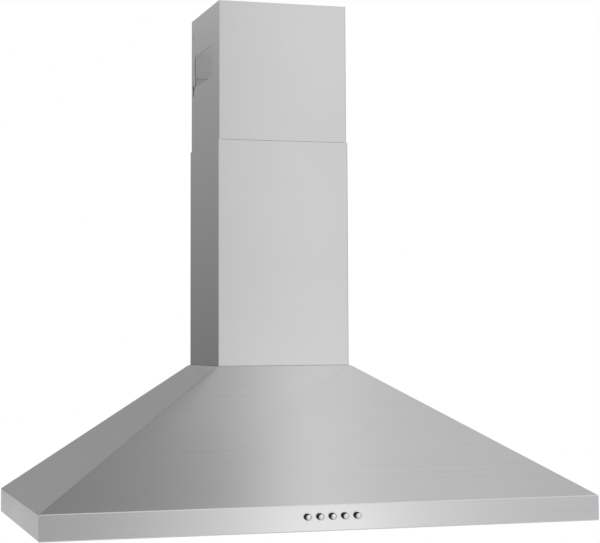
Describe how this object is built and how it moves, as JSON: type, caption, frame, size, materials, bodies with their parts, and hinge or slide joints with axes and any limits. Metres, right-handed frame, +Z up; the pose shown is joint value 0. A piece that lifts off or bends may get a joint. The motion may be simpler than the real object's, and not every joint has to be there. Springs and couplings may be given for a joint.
{
  "type": "wall mount range hood",
  "caption": "Wall-mounted chimney range hood: pyramid canopy on a straight rim, telescoping flue, push buttons, tilting baffle filters, blower and backdraft damper.",
  "frame": {"origin": "on the wall plane, at the middle of the hood's width, level with the rim's lower edge", "axes": "+X to the right seen from the room, +Y into the wall, +Z up; the front faces -Y"},
  "size_m": [0.9, 0.5085, 0.875],
  "materials": {
    "brushed_stainless": "stainless sheet brushed along its length",
    "satin_stainless": "satin stainless sheet",
    "zinc_sheet": "galvanised sheet, dull",
    "polished_chrome": "polished plating",
    "lamp_aluminium": "spun aluminium",
    "frosted_glass": "frosted",
    "board": "coated circuit board",
    "black_plastic": "moulded, fine grain",
    "fan_plastic": "moulded",
    "motor_paint": "dark grey paint",
    "black_rubber": "matt",
    "capacitor_can": "smooth moulded can",
    "white_plastic": "moulded",
    "bright_steel": "bright zinc plated",
    "cable_jacket": "matt cable jacket"
  },
  "bodies": {
    "root": {"blower_scroll": "zinc_sheet", "blower_side_left": "zinc_sheet", "blower_side_right": "zinc_sheet", "bottom_pan": "brushed_stainless", "cable_clips": "white_plastic", "canopy_back_panel": "zinc_sheet", "canopy_front_panel": "brushed_stainless", "canopy_left_panel": "brushed_stainless", "canopy_right_panel": "brushed_stainless", "canopy_top_plate": "zinc_sheet", "capacitor_clamp": "zinc_sheet", "collar_screws": "bright_steel", "damper_pin": "bright_steel", "duct_collar": "black_plastic", "flue_strip": "black_rubber", "junction_box": "zinc_sheet", "junction_box_cover": "zinc_sheet", "junction_box_screws": "bright_steel", "lamp_bezel_left": "polished_chrome", "lamp_bezel_right": "polished_chrome", "lamp_board_left": "board", "lamp_board_right": "board", "lamp_can_left": "lamp_aluminium", "lamp_can_right": "lamp_aluminium", "lamp_driver": "white_plastic", "lamp_glass_left": "frosted_glass", "lamp_glass_right": "frosted_glass", "lower_flue": "brushed_stainless", "motor_body": "motor_paint", "motor_bracket": "zinc_sheet", "motor_capacitor": "capacitor_can", "motor_grommets": "black_rubber", "motor_screws": "bright_steel", "switch_bank": "black_plastic", "switch_strap": "zinc_sheet", "terminal_block": "white_plastic", "wiring_harness": "cable_jacket"},
    "button_1_body": {"button_1": "polished_chrome"},
    "button_2_body": {"button_2": "polished_chrome"},
    "button_3_body": {"button_3": "polished_chrome"},
    "button_4_body": {"button_4": "polished_chrome"},
    "button_5_body": {"button_5": "polished_chrome"},
    "damper_front": {"damper_leaf_front": "black_plastic"},
    "damper_rear": {"damper_leaf_rear": "black_plastic"},
    "fan": {"fan_wheel": "fan_plastic", "motor_shaft": "bright_steel"},
    "filter_centre": {"filter_baffles_centre": "satin_stainless", "filter_frame_centre": "satin_stainless"},
    "filter_left": {"filter_baffles_left": "satin_stainless", "filter_frame_left": "satin_stainless"},
    "filter_right": {"filter_baffles_right": "satin_stainless", "filter_frame_right": "satin_stainless"},
    "latch_centre": {"filter_latch_centre": "satin_stainless"},
    "latch_left": {"filter_latch_left": "satin_stainless"},
    "latch_right": {"filter_latch_right": "satin_stainless"},
    "upper_flue_body": {"upper_flue": "brushed_stainless", "upper_flue_bracket": "zinc_sheet", "upper_flue_screws": "bright_steel"}
  },
  "joints": [
    {"name": "upper_flue_slide", "type": "slide", "parent": "root", "child": "upper_flue_body", "axis": [0, 0, 1], "range_m": [-0.19, 0.1]},
    {"name": "filter_left_tilt", "type": "hinge", "parent": "root", "child": "filter_left", "pos_m": [0, -0.0413, 0.016], "axis": [1, 0, 0], "range_deg": [0, 70]},
    {"name": "latch_left_slide", "type": "slide", "parent": "filter_left", "child": "latch_left", "axis": [0, 1, 0], "range_m": [0, 0.008], "stiffness_N_per_m": 300},
    {"name": "filter_centre_tilt", "type": "hinge", "parent": "root", "child": "filter_centre", "pos_m": [0, -0.0413, 0.016], "axis": [1, 0, 0], "range_deg": [0, 70]},
    {"name": "latch_centre_slide", "type": "slide", "parent": "filter_centre", "child": "latch_centre", "axis": [0, 1, 0], "range_m": [0, 0.008], "stiffness_N_per_m": 300},
    {"name": "filter_right_tilt", "type": "hinge", "parent": "root", "child": "filter_right", "pos_m": [0, -0.0413, 0.016], "axis": [1, 0, 0], "range_deg": [0, 70]},
    {"name": "latch_right_slide", "type": "slide", "parent": "filter_right", "child": "latch_right", "axis": [0, 1, 0], "range_m": [0, 0.008], "stiffness_N_per_m": 300},
    {"name": "button_1_press", "type": "slide", "parent": "root", "child": "button_1_body", "axis": [0, 1, 0], "range_m": [0, 0.004], "stiffness_N_per_m": 600},
    {"name": "button_2_press", "type": "slide", "parent": "root", "child": "button_2_body", "axis": [0, 1, 0], "range_m": [0, 0.004], "stiffness_N_per_m": 600},
    {"name": "button_3_press", "type": "slide", "parent": "root", "child": "button_3_body", "axis": [0, 1, 0], "range_m": [0, 0.004], "stiffness_N_per_m": 600},
    {"name": "button_4_press", "type": "slide", "parent": "root", "child": "button_4_body", "axis": [0, 1, 0], "range_m": [0, 0.004], "stiffness_N_per_m": 600},
    {"name": "button_5_press", "type": "slide", "parent": "root", "child": "button_5_body", "axis": [0, 1, 0], "range_m": [0, 0.004], "stiffness_N_per_m": 600},
    {"name": "fan_spin", "type": "hinge", "parent": "root", "child": "fan", "pos_m": [0, -0.171, 0.158], "axis": [1, 0, 0], "continuous": true},
    {"name": "damper_front_swing", "type": "hinge", "parent": "root", "child": "damper_front", "pos_m": [0, -0.111, 0.264], "axis": [-1, 0, 0], "range_deg": [0, 75]},
    {"name": "damper_rear_swing", "type": "hinge", "parent": "root", "child": "damper_rear", "pos_m": [0, -0.111, 0.264], "axis": [1, 0, 0], "range_deg": [0, 75]}
  ]
}
